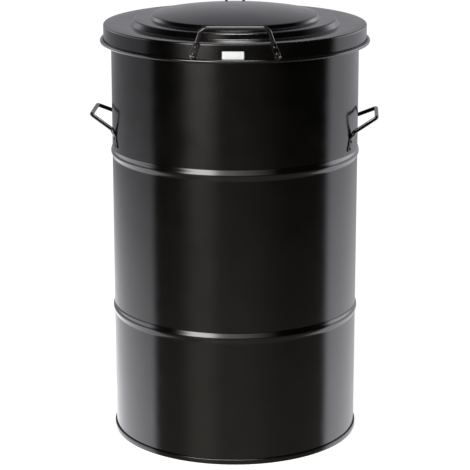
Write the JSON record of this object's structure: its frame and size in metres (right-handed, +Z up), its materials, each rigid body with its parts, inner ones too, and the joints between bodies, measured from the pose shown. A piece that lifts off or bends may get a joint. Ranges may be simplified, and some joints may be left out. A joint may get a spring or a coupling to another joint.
{
  "type": "trash can with hinged lid",
  "caption": "Tall round black-painted steel trash can with rolled beads, two bar handles on the sides and a domed lid that swings back on a wire hinge.",
  "frame": {"origin": "centre of the foot ring on the floor, on the can's axis", "axes": "+Z up along the can's axis; -Y is the front with the lid's handle; the hinge is at +Y; the side handles are at +X and -X"},
  "size_m": [0.5872, 0.5522, 0.8851],
  "materials": {
    "sheet": "semi-gloss black powder coat on galvanized sheet",
    "handle": "semi-gloss black powder coat on round bar",
    "hinge": "semi-gloss black powder coat on wire and strap",
    "rivet": "semi-gloss black powder coat over steel rivets",
    "wire": "galvanized wire, hidden in the curled edges",
    "label": "plain white film sticker"
  },
  "bodies": {
    "body": {"body_shell": "sheet", "rim_wire": "wire", "base_pan": "sheet", "left_handle": "handle", "right_handle": "handle", "hinge_leaf": "hinge", "left_handle_rivet_1": "rivet", "left_handle_rivet_2": "rivet", "left_handle_rivet_3": "rivet", "left_handle_rivet_4": "rivet", "right_handle_rivet_1": "rivet", "right_handle_rivet_2": "rivet", "right_handle_rivet_3": "rivet", "right_handle_rivet_4": "rivet", "hinge_leaf_rivet_1": "rivet", "hinge_leaf_rivet_2": "rivet"},
    "lid": {"lid_panel": "sheet", "lid_rim_wire": "wire", "lid_handle": "handle", "hinge_arm": "hinge", "lid_label": "label", "lid_handle_rivet_1": "rivet", "lid_handle_rivet_2": "rivet", "lid_handle_rivet_3": "rivet", "lid_handle_rivet_4": "rivet", "hinge_arm_rivet_1": "rivet", "hinge_arm_rivet_2": "rivet", "hinge_arm_rivet_3": "rivet", "hinge_arm_rivet_4": "rivet"}
  },
  "joints": [
    {"name": "lid_hinge", "type": "hinge", "parent": "body", "child": "lid", "pos_m": [0, 0.258, 0.80015], "axis": [-1, 0, 0], "range_deg": [0, 110]}
  ]
}
